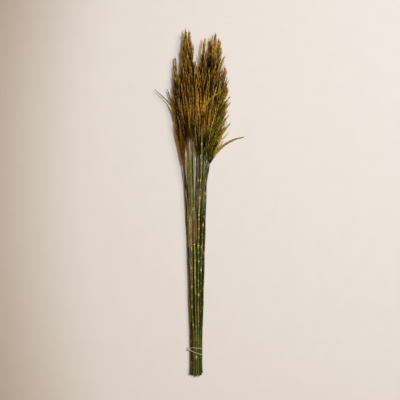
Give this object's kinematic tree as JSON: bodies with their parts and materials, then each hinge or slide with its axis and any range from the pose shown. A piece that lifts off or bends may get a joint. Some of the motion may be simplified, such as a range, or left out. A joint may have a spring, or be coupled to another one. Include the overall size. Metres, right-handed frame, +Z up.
{
  "type": "bundle of dried reed plumes",
  "caption": "Long slender bundle of dried reeds lying down: jointed stalks tied with string near their cut ends, opening into a fan of feathery plumes.",
  "frame": {"origin": "on the surface that the bundle lies on, at the middle of its length and width", "axes": "+Y from the cut ends to the plume tips, +X to the right when looking down on the bundle with the plumes away from the viewer, +Z up"},
  "size_m": [0.2055, 0.794, 0.0454],
  "materials": {
    "culm_green": "dull green stalk",
    "culm_olive": "olive stalk",
    "culm_yellow": "yellow-green stalk",
    "culm_tan": "dried tan stalk",
    "plume_brown": "dry, fluffy brown",
    "plume_gold": "dry, fluffy golden brown",
    "plume_olive": "dry, fluffy olive brown",
    "string": "twisted cream string"
  },
  "bodies": {
    "root": {"reed_01_culm": "culm_olive", "reed_01_plume": "plume_brown", "reed_02_culm": "culm_green", "reed_02_plume": "plume_brown", "reed_03_culm": "culm_green", "reed_03_plume": "plume_brown", "reed_04_culm": "culm_olive", "reed_04_plume": "plume_olive", "reed_05_culm": "culm_green", "reed_05_plume": "plume_olive", "reed_06_culm": "culm_green", "reed_06_plume": "plume_olive", "reed_07_culm": "culm_tan", "reed_07_plume": "plume_brown", "reed_08_culm": "culm_green", "reed_08_plume": "plume_gold", "reed_09_culm": "culm_tan", "reed_09_plume": "plume_brown", "reed_10_culm": "culm_olive", "reed_10_plume": "plume_olive", "reed_11_culm": "culm_green", "reed_11_plume": "plume_gold", "reed_12_culm": "culm_yellow", "reed_12_plume": "plume_brown", "reed_13_culm": "culm_yellow", "reed_13_plume": "plume_brown", "reed_14_culm": "culm_yellow", "reed_14_plume": "plume_gold", "reed_15_culm": "culm_green", "reed_15_plume": "plume_gold", "tie": "string"}
  },
  "joints": []
}
